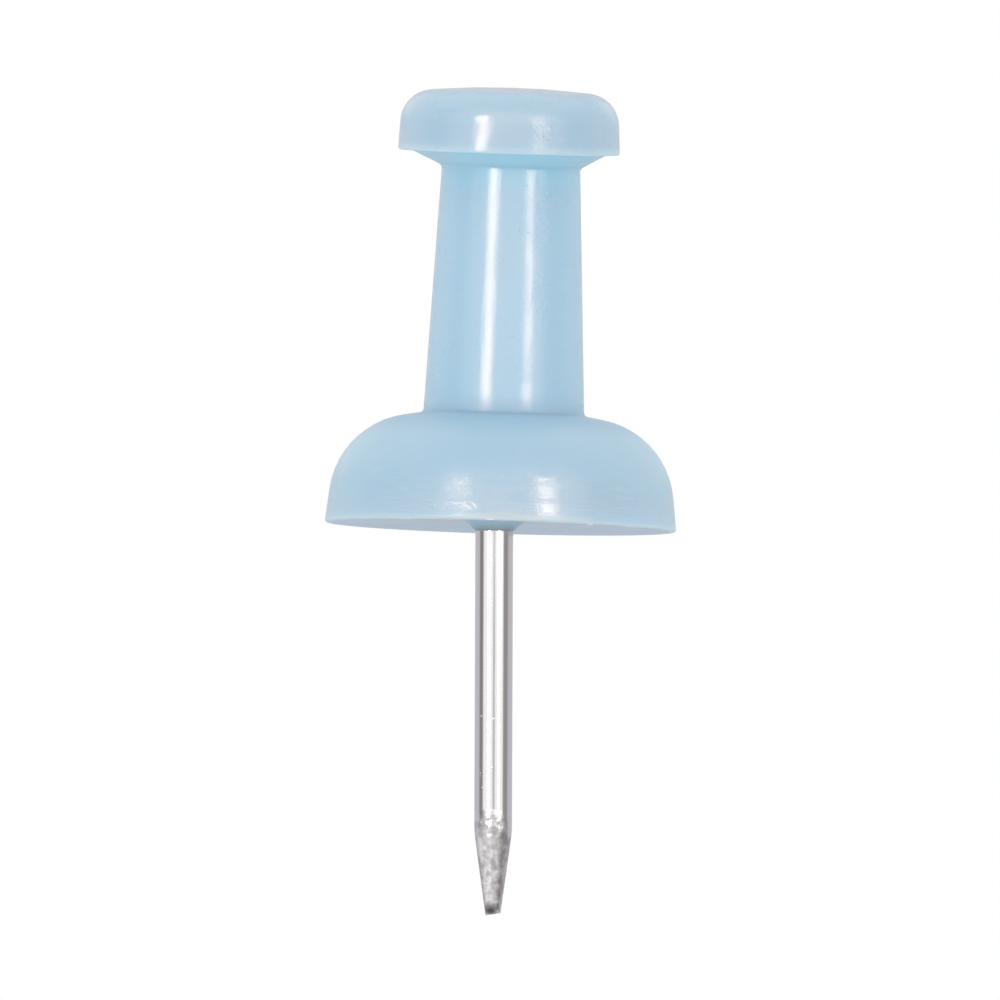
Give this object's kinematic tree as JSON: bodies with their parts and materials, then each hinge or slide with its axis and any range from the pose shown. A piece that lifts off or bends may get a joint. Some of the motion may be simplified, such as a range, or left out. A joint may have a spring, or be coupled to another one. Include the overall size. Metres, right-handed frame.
{
  "type": "push pin",
  "caption": "Spool-shaped plastic push pin with a broad drafted base, tapered finger grip, domed head and a steel needle with a blunt ground point, for pinning paper to a board.",
  "frame": {"origin": "centre of the base's underside, where the needle leaves the handle", "axes": "+Z along the pin's axis towards the head; the needle points along -Z; the part is round about Z"},
  "size_m": [0.01, 0.01, 0.0237],
  "materials": {
    "handle_plastic": "gloss",
    "needle_steel": "polished"
  },
  "bodies": {
    "root": {"handle": "handle_plastic", "needle": "needle_steel"}
  },
  "joints": []
}
